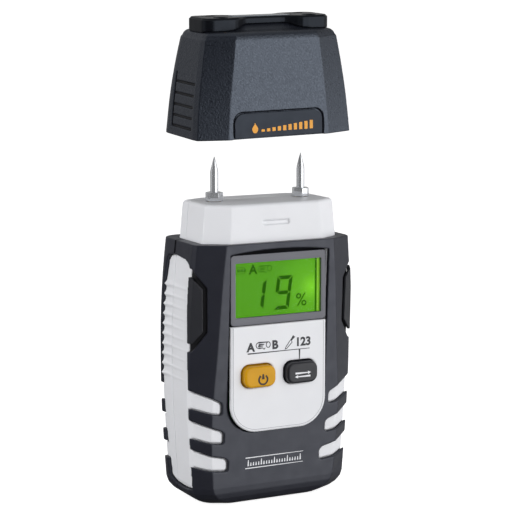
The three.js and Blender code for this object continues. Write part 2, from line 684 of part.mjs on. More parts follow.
function capSaddle(d) {
  const foot = CROWN_BASE_Z - 0.65;
  const section = (x) => {
    const rise = SADDLE_RISE(Math.abs(x));
    return [[-16, -1.5], [14, -1.5], [14, 0], [9.4 + d, 0.2], [5.6 + d, 0.62], [3.4 + d, 1],
      [-4.6 - d, 1], [-6.6 - d, 0.72], [-9.6 - d, 0.28], [-13.6 - d, 0], [-16, 0]]
      .map(([y, part]) => new THREE.Vector2(y, foot + (part < 0 ? part : part * rise + d)));
  };
  const sections = [-22, -19, -16, -12.5, -8.5, 8.5, 12.5, 16, 19, 22];
  const footprint = insetOutline(capOutline(CAP_H), 1.3 - d);
  return loft(sections.map((x) => ({ z: x, points: section(x) }))).transform(TO_X.elements)
    .intersect(loft([foot - 3, foot + 6].map((z) => ({ z, points: footprint }))));
}

function capShell() {
  let made = capForm(0, 0).add(capSaddle(0)).subtract(capForm(CAP_WALL, -2));
  for (const groove of capGrooves()) made = made.subtract(both(groove));
  for (const [x, y] of TEST_HOLES)
    made = made.subtract(turned(x, y, [[0, 120], [2.7, 120], [2.7, 140], [0, 140]]));
  const badge = capBadgeForm(0.5, -3).intersect(capForm(-2, 0).subtract(capForm(0.75, -2)));
  return made.subtract(badge);
}

// Five level grip grooves in the left side, joined by an upright one at the back.
function capGrooves() {
  const [depth, width] = [0.6, 0.8];
  const heights = [18.8, 14.8, 10.9, 7.1, 3.4];
  const [y0, y1] = [-8.2, 7.8];
  const floorX = (h) => -capBevelHalf(h) - 0.3 + depth;
  const level = (h) => box([floorX(h) - 4, floorX(h)], [y0, y1],
    [CAP_SEAT_Z + h - width / 2, CAP_SEAT_Z + h + width / 2]);
  const [low, high] = [heights[4] - width / 2, heights[0] + 3.4];
  const upright = prismY(outline([[-40, CAP_SEAT_Z + low], [floorX(low), CAP_SEAT_Z + low],
    [floorX(high), CAP_SEAT_Z + high], [-40, CAP_SEAT_Z + high]]), [y1 - width, y1 + 0.05]);
  return [...heights.map(level), upright];
}

function capBadgeForm(grow, bottom) {
  const [half, top] = [17.1 + grow, CAP_SEAT_Z + 8.9 + grow];
  const shape = roundedRect([-half, half], [CAP_SEAT_Z + bottom, top], 3.6);
  const lower = box([-half, half], [-30, 0], [CAP_SEAT_Z + bottom, CAP_SEAT_Z + 3]);
  return prismY(shape, [-30, 0], 6).add(lower);
}

function capBadge() {
  return capBadgeForm(0, 0.4).intersect(capForm(0.15, 0.4).subtract(capForm(0.45, -2)));
}

function capCrown() {
  const made = prismZ(crownOutline(0), [CROWN_BASE_Z - 2, CROWN_TOP_Z - 0.5], 6)
    .add(prismZ(crownOutline(0.4), [CROWN_TOP_Z - 0.5, CROWN_TOP_Z], 6))
    .subtract(capForm(-GAP, 20));
  const recess = prismZ(stripOutline(GAP), [CROWN_TOP_Z - 0.8, CROWN_TOP_Z + 1]);
  return TEST_HOLES.reduce((all, [x, y]) =>
    all.subtract(turned(x, y, [[0, 125], [2.6, 125], [2.6, 140], [0, 140]], 24)),
  made.subtract(capSaddle(GAP)).subtract(recess));
}

function stripOutline(grow) {
  return roundedRect([-11 - grow, 11 + grow], [CROWN.y - 3.6 - grow, CROWN.y + 3.6 + grow], 1.5);
}

function capStrip() {
  return prismZ(stripOutline(0), [CROWN_TOP_Z - 0.5, CROWN_TOP_Z + 0.05]);
}

function testContact([x, y]) {
  const [bore, outer] = [1.6, 2.3];
  const [bottom, top] = [CROWN_BASE_Z - 1.5, CROWN_TOP_Z - 0.9];
  return turned(x, y, [[0, bottom], [outer, bottom], [outer, top], [bore, top],
    [bore, bottom + 0.8], [0, bottom + 0.8]], 16);
}

function testBoard() {
  const z = CROWN_BASE_Z - 3.2;
  return prismZ(roundedRect([-20.4, 20.4], [-7.6, 6.4], 2), [z - 1, z]);
}

// ---------- assembly ----------
const meter = new THREE.Group();
const standing = new THREE.Group(); // lifts the drawn pieces until the base is at height 0
standing.position.setZ(-BASE_Z);
meter.add(standing);

function piece(name, made, material, parent = standing) {
  const mesh = new THREE.Mesh(geometryOf(made), material);
  mesh.name = name;
  parent.add(mesh);
}

function pair(name, make, material, parent) {
  piece(`${name}_left`, make(-1), material, parent);
  piece(`${name}_right`, make(1), material, parent);
}

piece("jacket_front", jacketFront(), jacketMat);
piece("jacket_rear", jacketRear(), jacketMat);
piece("housing_front", housingFront(), whiteMat);
piece("housing_rear", housingRear(), whiteMat);
pair("grip_pad", (side) => (side < 0 ? gripPad() : mirrored(gripPad())), padMat);
piece("keypad_panel", keypadPanel(), whiteMat);
piece("display_lens", displayLens(), lensMat);
piece("lcd_glass", box([-18, 18], [-14.7, -12.8], [64.8, 88]), lcdMat);
piece("lcd_backlight", box([-18, 18], [-12.4, -9.8], [67.2, 88]), clearMat);
piece("lcd_frame", lcdFrame(), blackMat);
piece("lcd_connector", box([-16, 16], [-12.4, PCB_Y[0] - GAP], [64.8, 66.6]), rubberMat);
piece("circuit_board", circuitBoard(), pcbMat);
piece("processor", box([-6, 6], [PCB_Y[1] + GAP, -5], [66, 78]), blackMat);
piece("buzzer", rodY(0, 38, 6, [PCB_Y[1] + GAP, -3.2], 20), blackMat);
pair("tact_switch", tactSwitch, blackMat);
pair("switch_plunger", (side) => rodY(side * BUTTON_X, BUTTON_Z, 1.7, [-13.3, -12], 12), blackMat);
piece("power_button", buttonCap(-1), amberMat);
piece("mode_button", buttonCap(1), greyKeyMat);
pair("measuring_pin", measuringPin, steelMat);
pair("pin_socket", pinSocket, brassMat);
pair("pin_lead", pinLead, springMat);

CELLS.forEach(({ x, up }, i) => {
  piece(`battery_${i + 1}`, batteryCell(x, up), cellMat);
  piece(`battery_spring_${i + 1}`, batterySpring(x, up), springMat);
});
const lug = 4.7; // half-width of a contact plate
const contacts = {
  battery_contact_positive: [-CELL_PITCH - lug, -CELL_PITCH + lug, CONTACT_TOP],
  battery_bridge_top: [-lug, CELL_PITCH + lug, CONTACT_TOP],
  battery_bridge_bottom: [-CELL_PITCH - lug, lug, CONTACT_BOTTOM],
  battery_contact_negative: [CELL_PITCH - lug, CELL_PITCH + lug, CONTACT_BOTTOM],
};
for (const [name, [x0, x1, z]] of Object.entries(contacts))
  piece(name, contactPlate([x0, x1], z), springMat);

piece("battery_door", batteryDoor(), jacketMat);
piece("door_pad", box([-15, 15], [CELL_Y + CELL_R + 0.2, BACK_Y - JACKET_T - GAP], [25, 50]),
  rubberMat);

CASE_SCREWS.forEach(([x, z], i) => {
  const head = rodY(x, z, 2.6, [BACK_Y - 1.65, BACK_Y - 0.2]);
  const slots = box([x - 1.6, x + 1.6], [BACK_Y - 0.9, BACK_Y + 1], [z - 0.3, z + 0.3])
    .add(box([x - 0.3, x + 0.3], [BACK_Y - 0.9, BACK_Y + 1], [z - 1.6, z + 1.6]));
  piece(`case_screw_${i + 1}`, head.subtract(slots).add(rodY(x, z, 1.35, [-5, BACK_Y - 1.6])),
    steelMat);
});
PCB_SCREWS.forEach(([x, z], i) => {
  const head = rodY(x, z, 2, [PCB_Y[1] + GAP, PCB_Y[1] + 1.6], 12);
  piece(`board_screw_${i + 1}`, head.add(rodY(x, z, 0.65, [-12.5, PCB_Y[1] + 0.4], 10)), steelMat);
});

// The cap group is drawn seated on the head and then carried up its arc.
const heading = THREE.MathUtils.degToRad(CAP_ARC.heading);
const arcAxis = new THREE.Vector3(Math.cos(heading), -Math.sin(heading), 0);
const arcCentre = new THREE.Vector3(-Math.sin(heading), -Math.cos(heading), 0)
  .multiplyScalar(CAP_ARC.radius)
  .setZ(CAP_ARC.z);
const cap = new THREE.Group();
cap.applyMatrix4(new THREE.Matrix4()
  .makeTranslation(arcCentre)
  .multiply(new THREE.Matrix4().makeRotationAxis(arcAxis, THREE.MathUtils.degToRad(CAP_ARC.lift)))
  .multiply(new THREE.Matrix4().makeTranslation(arcCentre.clone().negate())));
standing.add(cap);

piece("cap_shell", capShell(), capMat, cap);
piece("cap_badge", capBadge(), capMat, cap);
piece("cap_crown", capCrown(), capMat, cap);
piece("cap_strip", capStrip(), stripMat, cap);
TEST_HOLES.forEach((hole, i) => piece(`test_contact_${i + 1}`, testContact(hole), brassMat, cap));
piece("cap_test_board", testBoard(), pcbMat, cap);

export default meter;
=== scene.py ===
"""Looks of the pin-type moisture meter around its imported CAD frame. Metres, +Z up, -Y is the front."""
import json
import math

import bmesh
import bpy
from mathutils import Matrix, Vector
from mathutils.bvhtree import BVHTree

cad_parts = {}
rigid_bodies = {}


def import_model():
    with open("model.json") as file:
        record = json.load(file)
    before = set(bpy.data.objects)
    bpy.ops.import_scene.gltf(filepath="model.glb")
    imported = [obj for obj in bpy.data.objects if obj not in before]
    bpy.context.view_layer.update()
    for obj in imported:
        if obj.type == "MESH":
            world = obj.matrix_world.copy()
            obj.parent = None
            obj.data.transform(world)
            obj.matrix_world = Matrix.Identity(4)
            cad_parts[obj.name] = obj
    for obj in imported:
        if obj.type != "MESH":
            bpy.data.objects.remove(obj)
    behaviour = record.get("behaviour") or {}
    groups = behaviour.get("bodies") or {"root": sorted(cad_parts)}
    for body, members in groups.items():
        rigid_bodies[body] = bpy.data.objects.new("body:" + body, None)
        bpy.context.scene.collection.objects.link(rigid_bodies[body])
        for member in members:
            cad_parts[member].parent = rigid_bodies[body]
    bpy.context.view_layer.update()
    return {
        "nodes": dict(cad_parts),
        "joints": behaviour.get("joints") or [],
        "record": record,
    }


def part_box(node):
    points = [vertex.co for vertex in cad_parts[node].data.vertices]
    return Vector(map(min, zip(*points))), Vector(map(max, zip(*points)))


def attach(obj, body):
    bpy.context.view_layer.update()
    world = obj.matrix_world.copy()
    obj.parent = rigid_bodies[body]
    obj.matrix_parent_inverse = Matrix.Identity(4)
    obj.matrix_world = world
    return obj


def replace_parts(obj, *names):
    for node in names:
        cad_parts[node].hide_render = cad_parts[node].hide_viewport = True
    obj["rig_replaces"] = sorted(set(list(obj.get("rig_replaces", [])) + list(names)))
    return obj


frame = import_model()
nodes = frame["nodes"]
body_of_node = {n: b for b, members in frame["record"]["behaviour"]["bodies"].items() for n in members}
slot_of_node = {s["node"]: s["material_slot"] for s in frame["record"]["subparts"]}
joints = {j["name"]: j for j in frame["joints"]}
MM = 0.001
# Heights in the pieces' own millimetres are counted from a datum this far above the base.
BASE_RISE = 1.7
scene = bpy.context.scene
scene.view_settings.view_transform = "Standard"
scene.view_settings.look = "None"

# ---------- camera ----------
AZIMUTH, ELEVATION = math.radians(-27.022), math.radians(8.439)
toward_camera = Vector((math.sin(AZIMUTH) * math.cos(ELEVATION),
                        -math.cos(AZIMUTH) * math.cos(ELEVATION), math.sin(ELEVATION)))
camera = bpy.data.objects.new("camera", bpy.data.cameras.new("camera"))
camera.location = (-0.2921, -0.5713, 0.1807 + BASE_RISE * MM)
camera.rotation_euler = (-toward_camera).to_track_quat("-Z", "Y").to_euler()
camera.data.lens = 127.1
camera.data.sensor_width = 36
camera.data.clip_start = 0.01
scene.collection.objects.link(camera)
scene.camera = camera


# ---------- materials ----------
def srgb(hex_colour):
    parts = [int(hex_colour[i:i + 2], 16) / 255 for i in (1, 3, 5)]
    return tuple(c / 12.92 if c <= 0.04045 else ((c + 0.055) / 1.055) ** 2.4 for c in parts) + (1,)


def node_material(name):
    material = bpy.data.materials.new(name)
    material.use_nodes = True
    tree = material.node_tree
    shader = next(n for n in tree.nodes if n.type == "BSDF_PRINCIPLED")
    where = tree.nodes.new("ShaderNodeTexCoord").outputs["Object"]
    return material, tree, shader, where


def noise(tree, where, size_mm, detail=2.0):
    """Noise with grains about size_mm across."""
    node = tree.nodes.new("ShaderNodeTexNoise")
    node.inputs["Scale"].default_value = 1 / (size_mm * MM)
    node.inputs["Detail"].default_value = detail
    tree.links.new(where, node.inputs["Vector"])
    return node.outputs["Fac"]


def ramp(tree, value, stops):
    node = tree.nodes.new("ShaderNodeValToRGB")
    elements = node.color_ramp.elements
    while len(elements) < len(stops):
        elements.new(0.5)
    for element, (at, colour) in zip(elements, stops):
        element.position = at
        element.color = colour
    tree.links.new(value, node.inputs["Fac"])
    return node.outputs["Color"]


def spread(tree, value, low, high):
    node = tree.nodes.new("ShaderNodeMapRange")
    node.inputs["From Min"].default_value = 0.3
    node.inputs["From Max"].default_value = 0.7
    node.inputs["To Min"].default_value = low
    node.inputs["To Max"].default_value = high
    tree.links.new(value, node.inputs["Value"])
    return node.outputs["Result"]


def bumps(tree, shader, heights):
    """Stacks bump nodes: (height socket, depth in mm, strength)."""
    normal = None
    for height, depth, strength in heights:
        node = tree.nodes.new("ShaderNodeBump")
        node.inputs["Distance"].default_value = depth * MM
        node.inputs["Strength"].default_value = strength
        tree.links.new(height, node.inputs["Height"])
        if normal is not None:
            tree.links.new(normal, node.inputs["Normal"])
        normal = node.outputs["Normal"]
    tree.links.new(normal, shader.inputs["Normal"])


def shade(colour, factor):
    return tuple(min(1.0, c * factor) for c in colour[:3]) + (1,)


def moulded(name, hex_colour, rough=0.5, grain=0.35, depth=0.02, strength=0.4, tone=0.06,
            specular=0.5, coat=0.0, gloss_tint=None, patch_mm=4, patchy=0.05):
    """Moulded plastic or rubber: fine grain, slow changes of tone and patches of gloss."""
    material, tree, shader, where = node_material(name)
    colour = srgb(hex_colour)
    slow, fine = noise(tree, where, 9), noise(tree, where, grain, 3)
    tree.links.new(ramp(tree, slow, [(0.3, shade(colour, 1 - tone)), (0.7, shade(colour, 1 + tone))]),
                   shader.inputs["Base Color"])
    tree.links.new(spread(tree, noise(tree, where, patch_mm, 4), rough - patchy, rough + patchy),
                   shader.inputs["Roughness"])
    shader.inputs["Specular IOR Level"].default_value = specular
    if gloss_tint:
        shader.inputs["Specular Tint"].default_value = srgb(gloss_tint)
    shader.inputs["Coat Weight"].default_value = coat
    shader.inputs["Coat Roughness"].default_value = 0.2
    bumps(tree, shader, [(fine, depth, strength)])
    return material


def metal(name, hex_colour, rough=0.2, brush=0.0, metallic=1.0):
    material, tree, shader, where = node_material(name)
    colour = srgb(hex_colour)
    tree.links.new(ramp(tree, noise(tree, where, 5), [(0.3, shade(colour, 0.94)), (0.7, colour)]),
                   shader.inputs["Base Color"])
    tree.links.new(spread(tree, noise(tree, where, 1.5, 3), rough * 0.8, rough * 1.2),
                   shader.inputs["Roughness"])
    shader.inputs["Metallic"].default_value = metallic
    bumps(tree, shader, [(noise(tree, where, 0.25, 2), 0.004, 0.2 + brush)])
    return material


def lcd_material():
    """The lit display: green, brighter in a soft spot, with a faint pixel-fine weave."""
    material, tree, shader, where = node_material("lcd_lit")
    offset = tree.nodes.new("ShaderNodeVectorMath")
    offset.operation = "DISTANCE"
    offset.inputs[1].default_value = (14 * MM, -14.7 * MM, (75.5 + BASE_RISE) * MM)
    tree.links.new(where, offset.inputs[0])
    reach = tree.nodes.new("ShaderNodeMapRange")
    reach.inputs["From Max"].default_value = 15 * MM
    tree.links.new(offset.outputs["Value"], reach.inputs["Value"])
    green = ramp(tree, reach.outputs["Result"],
                 [(0.0, srgb("#8CE82C")), (0.35, srgb("#68B81B")), (1.0, srgb("#56A014"))])
    shader.inputs["Base Color"].default_value = (0.02, 0.08, 0.01, 1)
    tree.links.new(green, shader.inputs["Emission Color"])
    shader.inputs["Emission Strength"].default_value = 0.76
    shader.inputs["Specular IOR Level"].default_value = 0.02
    tree.links.new(spread(tree, noise(tree, where, 3), 0.25, 0.35), shader.inputs["Roughness"])
    bumps(tree, shader, [(noise(tree, where, 0.2), 0.003, 0.1)])
    return material


def pane_material():
    """A clear window, all but invisible from the front."""
    material, tree, shader, where = node_material("clear_pane")
    tree.links.new(ramp(tree, noise(tree, where, 6),
                        [(0.3, (0.05, 0.06, 0.05, 1)), (0.7, (0.08, 0.08, 0.08, 1))]),
                   shader.inputs["Base Color"])
    shader.inputs["Alpha"].default_value = 0.02
    shader.inputs["Roughness"].default_value = 0.06
    return material


MATERIALS = {
    "jacket": moulded("jacket_soft", "#23242C", rough=0.44, grain=0.3, depth=0.02, strength=0.35,
                      specular=0.65, gloss_tint="#F0F4FF"),
    "core_white": moulded("core_white", "#E1E2E6", rough=0.42, grain=0.4, depth=0.01,
                          strength=0.2, tone=0.012),
    "grip_rubber": moulded("pad_rubber", "#26272C", rough=0.55, grain=0.25, depth=0.03, strength=0.5,
                           specular=0.6),
    "lens": moulded("lens_print", "#4B4C56", rough=0.3, grain=0.5, depth=0.002, strength=0.1, coat=0.3,
                    patchy=0.015),
    "lcd": lcd_material(),
    "diffuser": moulded("diffuser", "#D9DDD2", rough=0.4),
    "black_plastic": moulded("black_plastic", "#17171A", rough=0.45),
    "grey_rubber": moulded("grey_rubber", "#55565C", rough=0.75),
    "circuit": moulded("board_resist", "#1F6B3A", rough=0.35, grain=1.2, depth=0.03),
    "amber_key": moulded("amber_key", "#CB9406", rough=0.4, grain=0.3, depth=0.012, strength=0.25,
                         specular=0.3),
    "grey_key": moulded("grey_key", "#202127", rough=0.4, grain=0.3, depth=0.012, strength=0.25,
                        specular=0.4),
    "chrome": metal("chrome", "#E4E6EA", rough=0.14, metallic=0.75),
    "brass": metal("brass", "#C9A24A", rough=0.3),
    "spring_steel": metal("spring_steel", "#B8BCC2", rough=0.28, brush=0.2),
    "cell_wrap": moulded("cell_wrap", "#B4BAC4", rough=0.3, tone=0.1),
    "cap_plastic": moulded("cap_plastic", "#16181F", rough=0.36, grain=0.62, depth=0.16, strength=0.8,
                           specular=1.0, gloss_tint="#DCEAFF", patch_mm=0.55, patchy=0.13),
    "cap_strip": moulded("cap_strip", "#66717C", rough=0.12, grain=2, depth=0.004, strength=0.1),
}
# The badge and the crown are smoother and darker than the grained shell.
OWN_FINISH = {
    "cap_badge": moulded("cap_badge_smooth", "#15171D", rough=0.42, grain=0.3, depth=0.01, strength=0.3,
                         specular=0.42, gloss_tint="#DCEAFF"),
    "cap_crown": moulded("cap_crown_smooth", "#0E0F13", rough=0.34, grain=0.4, depth=0.01, strength=0.3,
                         specular=0.24, gloss_tint="#DCEAFF"),
}


# ---------- pieces made from the CAD nodes ----------
CAP_JOINT = joints["cap_lift"]
cap_pivot = Matrix.Translation(Vector(CAP_JOINT["pos_m"]))
# Takes the cap from its seat on the handle to where it is held.
CAP_LIFT = cap_pivot @ Matrix.Rotation(math.radians(-CAP_JOINT["range_deg"][0]), 4,
                                       Vector(CAP_JOINT["axis"])) @ cap_pivot.inverted()
TO_METRES = Matrix.Scale(MM, 4) @ Matrix.Translation((0, 0, BASE_RISE))


def in_place(body):
    """From a piece's own millimetres, with the cap seated, to its place in the frame."""
    return (CAP_LIFT if body == "cap" else Matrix.Identity(4)) @ TO_METRES


def new_object(name, mesh):
    made = bpy.data.objects.new(name, mesh)
    scene.collection.objects.link(made)
    return made


def node_copy(node, name):
    """A copy of a CAD node in millimetres, with the cap's pieces seated."""
    mesh = nodes[node].data.copy()
    mesh.materials.clear()
    mesh.transform(in_place(body_of_node[node]).inverted())
    return new_object(name, mesh)


def baked(piece):
    """Applies every modifier."""
    bpy.context.view_layer.update()
    graph = bpy.context.evaluated_depsgraph_get()
    mesh = bpy.data.meshes.new_from_object(piece.evaluated_get(graph), depsgraph=graph)
    piece.modifiers.clear()
    piece.data = mesh
    return piece


def modifier(piece, kind, **settings):
    made = piece.modifiers.new(kind.lower(), kind)
    for key, value in settings.items():
        setattr(made, key, value)
    return made


def smooth(piece, angle=None):
    piece.data.polygons.foreach_set("use_smooth", [True] * len(piece.data.polygons))
    if angle is not None:
        piece.data.set_sharp_from_angle(angle=math.radians(angle))


def placed(piece, body, material, replaced=()):
    """Brings a piece into the frame, in metres, and gives it its body, material and nodes."""
    piece.data.transform(in_place(body))
    if material:
        piece.data.materials.clear()
        piece.data.materials.append(material)
    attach(piece, body)
    if replaced:
        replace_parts(piece, *replaced)
    return piece


def shifted(piece, where, by):
    """Moves a piece's points along one axis by a distance that depends on the point."""
    for vert in piece.data.vertices:
        vert.co[where] += by(vert.co)


def painted_recess_shade(piece, node, depth, inside):
    """Paints shade into a piece's recesses: faces deeper than depth below the node's outer form get the
    black material as painted shade.
    """
    hull = bmesh.new()
    outer = node_copy(node, "outer")
    hull.from_mesh(outer.data)
    made = bmesh.ops.convex_hull(hull, input=hull.verts)
    bmesh.ops.delete(hull, geom=[g for g in made["geom_interior"] + made["geom_unused"]
                                 if isinstance(g, bmesh.types.BMVert)], context="VERTS")
    tree = BVHTree.FromBMesh(hull)
    hull.free()
    bpy.data.objects.remove(outer)
    piece.data.materials.append(MATERIALS["black_plastic"])
    for face in piece.data.polygons:
        if inside(face.center) and tree.find_nearest(face.center)[3] > depth:
            face.material_index = 1


def softened(node, voxel, rounds, faces):
    """A node with its edges rounded over as a mould leaves them."""
    piece = node_copy(node, f"{node}_moulded")
    modifier(piece, "REMESH", mode="VOXEL", voxel_size=voxel)
    modifier(piece, "SMOOTH", factor=0.5, iterations=rounds)
    baked(piece)
    share = faces / (2 * len(piece.data.polygons))
    if share < 1:
        modifier(piece, "DECIMATE", ratio=share)
        baked(piece)
    smooth(piece)
    modifier(piece, "WEIGHTED_NORMAL", weight=50)
    slot = slot_of_node[node]
    piece.data.materials.append(OWN_FINISH.get(node, MATERIALS[slot]))
    if node in CLOSE_UP:
        shifted(piece, *CLOSE_UP[node])
    # Faces in the recesses get black as painted shade.
    if node in PAINTED_RECESS_SHADE:
        painted_recess_shade(piece, node, *PAINTED_RECESS_SHADE[node])
    return placed(piece, body_of_node[node], None, [node])


def bevelled(node, width, angle=35):
    """A node with small rounds on its edges."""
    piece = node_copy(node, f"{node}_fine")
    edit = bmesh.new()
    edit.from_mesh(piece.data)
    bmesh.ops.remove_doubles(edit, verts=edit.verts, dist=1e-4)
    bmesh.ops.dissolve_limit(edit, angle_limit=math.radians(0.5), verts=edit.verts, edges=edit.edges)
    edit.to_mesh(piece.data)
    edit.free()
    if width:
        modifier(piece, "BEVEL", width=width, segments=2, limit_method="ANGLE",
                 angle_limit=math.radians(angle), use_clamp_overlap=True)
        baked(piece)
    smooth(piece, 40)
    slot = slot_of_node[node]
    return placed(piece, body_of_node[node], MATERIALS[slot], [node])


def within(value, low, high):
    return low < value < high


# The moulded halves meet in a fine line and the crown sits down on the shell. Each row takes up
# clearance between the CAD pieces: the axis, and how far each point moves along it.
SEAM_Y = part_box("housing_front")[1][1] / MM
SEAM_REACH = 0.8  # points this near the seam move
SEAM_GAP, SEAM_CLOSING = 0.3, 0.14
CROWN_FOOT_Z, CROWN_DROP = 132.9, 0.24


def seam_share(before_seam):
    """1 at the seam, falling to 0 at the reach before it."""
    return max(0.0, min(1.0, 1 - before_seam / SEAM_REACH))


CLOSE_UP = {
    "housing_front": (1, lambda p: SEAM_CLOSING * seam_share(SEAM_Y - p.y)),
    "housing_rear": (1, lambda p: -SEAM_CLOSING * seam_share(p.y - SEAM_Y - SEAM_GAP)
                     if abs(p.x) > 20 else 0),
    "cap_crown": (2, lambda p: -CROWN_DROP if p.z < CROWN_FOOT_Z else 0),
}
# Painted shade in the grooves, which get the black material: depth below the outer form, and where they lie.
PAINTED_RECESS_SHADE = {
    "jacket_front": (0.5, lambda p: abs(p.x) > 24 and within(p.z, 54, 85) and p.y < -8.6),
    "cap_shell": (0.28, lambda p: abs(p.x) > 25 and within(p.z, 95, 117) and within(p.y, -9, 8.4)),
}
SOFTENED = {
    # voxel in mm, smoothing rounds, triangles kept
    "jacket_front": (0.24, 8, 90000),
    "jacket_rear": (0.24, 8, 70000),
    "housing_front": (0.26, 8, 70000),
    "housing_rear": (0.3, 7, 60000),
    "cap_shell": (0.2, 5, 90000),
    "cap_crown": (0.14, 20, 30000),
    "cap_badge": (0.12, 4, 12000),
    "keypad_panel": (0.16, 5, 40000),
    "grip_pad_left": (0.15, 6, 12000),
    "grip_pad_right": (0.15, 6, 12000),
    "power_button": (0.12, 10, 14000),
    "mode_button": (0.12, 10, 14000),
    "battery_door": (0.2, 5, 24000),
}
for node, settings in SOFTENED.items():
    softened(node, *settings)


# ---------- drawn pieces ----------
def mesh_object(name, verts, faces):
    mesh = bpy.data.meshes.new(name)
    mesh.from_pydata([tuple(v) for v in verts], [], [tuple(f) for f in faces])
    mesh.validate()
    edit = bmesh.new()
    edit.from_mesh(mesh)
    bmesh.ops.recalc_face_normals(edit, faces=edit.faces)
    edit.to_mesh(mesh)
    edit.free()
    return new_object(name, mesh)


def lathe(name, x, y, profile, sides=48):
    """A turned piece about the vertical line through (x, y); the profile starts and ends on it."""
    verts, faces = [(x, y, profile[0][1])], []
    rings = profile[1:-1]
    for r, z in rings:
        for i in range(sides):
            a = 2 * math.pi * i / sides
            verts.append((x + r * math.cos(a), y + r * math.sin(a), z))
    verts.append((x, y, profile[-1][1]))
    last = len(verts) - 1
    for i in range(sides):
        j = (i + 1) % sides
        faces.append((0, 1 + j, 1 + i))
        for k in range(len(rings) - 1):
            a, b = 1 + k * sides, 1 + (k + 1) * sides
            faces.append((a + i, a + j, b + j, b + i))
        top = 1 + (len(rings) - 1) * sides
        faces.append((top + i, top + j, last))
    return mesh_object(name, verts, faces)


def joined(name, parts):
    """One object from several."""
    edit = bmesh.new()
    for part in parts:
        edit.from_mesh(part.data)
        mesh = part.data
        bpy.data.objects.remove(part)
        bpy.data.meshes.remove(mesh)
    mesh = bpy.data.meshes.new(name)
    edit.to_mesh(mesh)
    edit.free()
    return new_object(name, mesh)


HEAD_TOP_Z, PIN_TIP_Z, PIN_X = 106.3, 122.1, 17.25
for side, word in ((-1, "left"), (1, "right")):
    foot = HEAD_TOP_Z + 0.3
    shank, cone = 1.45, PIN_TIP_Z - 5.3
    needle = lathe("needle", side * PIN_X, 0, [
        (0, 98), (1.2, 98), (1.5, 98.4), (shank, foot + 2.7), (shank, cone - 0.4),
        (shank - 0.04, cone), (1.32, cone + 0.6), (1.12, cone + 1.4), (0.95, cone + 2.1),
        (0.78, cone + 2.8), (0.6, cone + 3.5), (0.42, cone + 4.1), (0.24, cone + 4.7),
        (0.08, cone + 5.25), (0, PIN_TIP_Z)], 48)
    # Hexagon with turned-off corners at both ends.
    across, corners = 5.5 / math.sqrt(3), []
    turn = math.radians(33 if side < 0 else 14)
    for z, r in ((foot - 0.26, 0.96), (foot - 0.1, 1), (foot + 2.72, 1), (foot + 2.9, 0.95)):
        for i in range(6):
            a = turn + math.pi / 3 * i
            corners.append((side * PIN_X + across * r * math.cos(a), across * r * math.sin(a), z))
    sides = [(k * 6 + i, k * 6 + (i + 1) % 6, k * 6 + 6 + (i + 1) % 6, k * 6 + 6 + i)
             for k in range(3) for i in range(6)]
    hexagon = mesh_object("hexagon", corners, sides + [tuple(range(5, -1, -1)), tuple(range(18, 24))])
    modifier(hexagon, "BEVEL", width=0.06, segments=2, limit_method="ANGLE",
             angle_limit=math.radians(20))
    baked(hexagon)
    pin = joined(f"measuring_pin_{word}_turned", [needle, hexagon])
    smooth(pin, 32)
    placed(pin, "handle", MATERIALS["chrome"], [f"measuring_pin_{word}"])


# ---------- flat shapes: outlines are in (x, z), seen from the front ----------
def plate(name, loops, y0, y1):
    """A closed plate between two depths; the first loop is its outline and the others are holes."""
    edit = bmesh.new()
    for loop in loops:
        verts = [edit.verts.new((x, y0, z)) for x, z in loop]
        for i, vert in enumerate(verts):
            edit.edges.new((vert, verts[(i + 1) % len(verts)]))
    bmesh.ops.triangle_fill(edit, edges=edit.edges[:], use_beauty=True, normal=(0, -1, 0))
    made = bmesh.ops.extrude_face_region(edit, geom=edit.faces[:])
    bmesh.ops.translate(edit, vec=(0, y1 - y0, 0),
                        verts=[v for v in made["geom"] if isinstance(v, bmesh.types.BMVert)])
    bmesh.ops.recalc_face_normals(edit, faces=edit.faces)
    mesh = bpy.data.meshes.new(name)
    edit.to_mesh(mesh)
    edit.free()
    return new_object(name, mesh)


def rounded(x0, x1, z0, z1, r, steps=8):
    centres = ((x1 - r, z0 + r, -90), (x1 - r, z1 - r, 0), (x0 + r, z1 - r, 90), (x0 + r, z0 + r, 180))
    return [(cx + r * math.cos(a), cz + r * math.sin(a)) for cx, cz, start in centres
            for a in (math.radians(start + 90 * i / steps) for i in range(steps + 1))]


def arc(cx, cz, rx, rz, start, end, steps=20):
    return [(cx + rx * math.cos(a), cz + rz * math.sin(a))
            for a in (math.radians(start + (end - start) * i / steps) for i in range(steps + 1))]


def sides_of(points, width, closed=False):
    """The two edges of a line of that width through the points."""
    out, n = ([], []), len(points)
    for i, here in enumerate(points):
        before = points[i - 1] if closed or i else here
        after = points[(i + 1) % n] if closed or i < n - 1 else here
        a, b = Vector(here) - Vector(before), Vector(after) - Vector(here)
        a, b = (a or b).normalized(), (b or a).normalized()
        normal = Vector((-(a + b).y, (a + b).x)).normalized()
        reach = width / 2 / max(0.5, normal.dot(Vector((-a.y, a.x))))
        for edge, sign in zip(out, (1, -1)):
            edge.append(tuple(Vector(here) + normal * reach * sign))
    return out


def line(points, width):
    """An open line as one closed outline."""
    one, other = sides_of(points, width)
    return [one + other[::-1]]


def ring(points, width):
    """A closed line as an outline and its hole."""
    return list(sides_of(points, width, closed=True))


def lettering(name, body, size, x, z, y0, y1, weight=0.0):
    """Generic digits and signs, centred on (x, z)."""
    curve = bpy.data.curves.new(name, "FONT")
    curve.body, curve.size, curve.offset = body, size, weight
    curve.align_x, curve.align_y = "CENTER", "CENTER"
    curve.extrude = (y1 - y0) / 2
    curve.resolution_u = 6
    text = new_object(name, curve)
    bpy.context.view_layer.update()
    mesh = bpy.data.meshes.new_from_object(text.evaluated_get(bpy.context.evaluated_depsgraph_get()))
    bpy.data.objects.remove(text)
    mesh.transform(Matrix.Translation((x, (y0 + y1) / 2, z)) @ Matrix.Rotation(math.radians(90), 4, "X"))
    return new_object(name, mesh)


